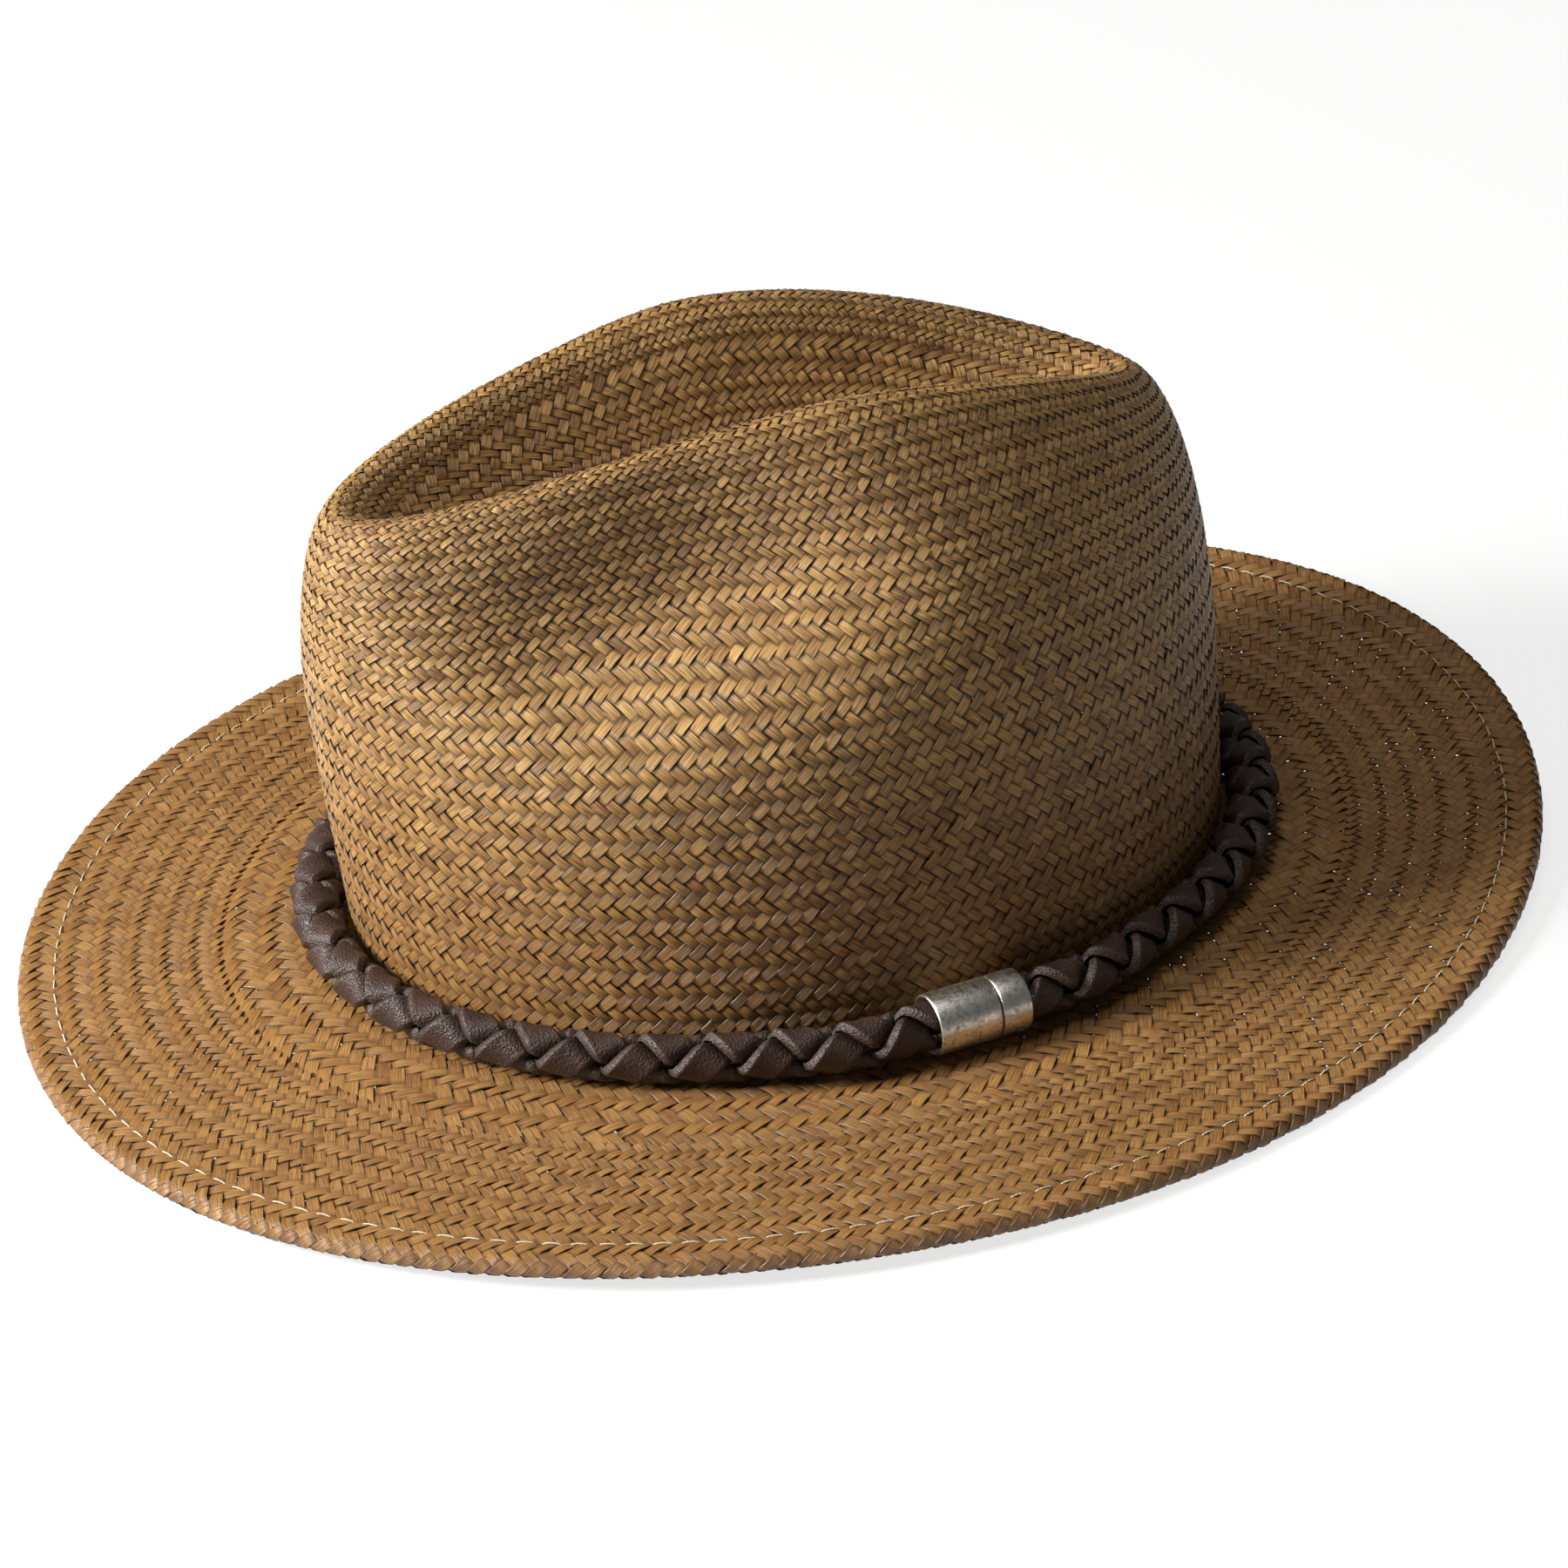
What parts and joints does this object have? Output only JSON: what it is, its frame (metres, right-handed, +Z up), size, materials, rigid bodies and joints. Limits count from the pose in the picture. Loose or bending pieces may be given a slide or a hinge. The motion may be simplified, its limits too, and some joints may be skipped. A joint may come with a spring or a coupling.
{
  "type": "woven straw hat",
  "caption": "Brimmed hand-woven straw hat with a pinched teardrop crown, stitched rolled edge, leather sweatband and a braided leather band with a magnetic clasp.",
  "frame": {"origin": "under the middle of the hat's bounding box, on the surface that the brim stands on", "axes": "+Z up, the front of the hat faces -Y, the wearer's left is +X"},
  "size_m": [0.3136, 0.3544, 0.1314],
  "materials": {
    "woven_straw": "hand-woven palm straw, stained golden brown, satin",
    "sewing_thread": "off-white twisted thread",
    "spring_wire": "drawn spring wire",
    "braid_leather": "dark brown semi-gloss leather lace with paler cut edges",
    "sweatband_leather": "smooth matt brown leather",
    "reed_plastic": "natural extruded plastic",
    "bow_ribbon": "ribbed grosgrain",
    "antique_silver": "antique silver plate, polished with dark patina",
    "magnet_nickel": "nickel plate"
  },
  "bodies": {
    "hat": {"straw_crown": "woven_straw", "straw_brim": "woven_straw", "brim_edge_wire": "spring_wire", "edge_needle_thread": "sewing_thread", "edge_bobbin_thread": "sewing_thread", "sweatband": "sweatband_leather", "sweatband_reed": "reed_plastic", "sweatband_thread": "sewing_thread", "sweatband_bow": "bow_ribbon"},
    "band": {"braided_band": "braid_leather", "clasp_socket": "antique_silver", "socket_magnet": "magnet_nickel"},
    "clasp_half": {"clasp_plug": "antique_silver", "plug_magnet": "magnet_nickel"}
  },
  "joints": [
    {"name": "band_lift", "type": "slide", "parent": "hat", "child": "band", "axis": [0, -0.0428, 0.9991], "range_m": [0, 0.015]},
    {"name": "clasp_pull", "type": "slide", "parent": "band", "child": "clasp_half", "axis": [0.0492, 0.9984, -0.0271], "range_m": [0, 0.003]}
  ]
}
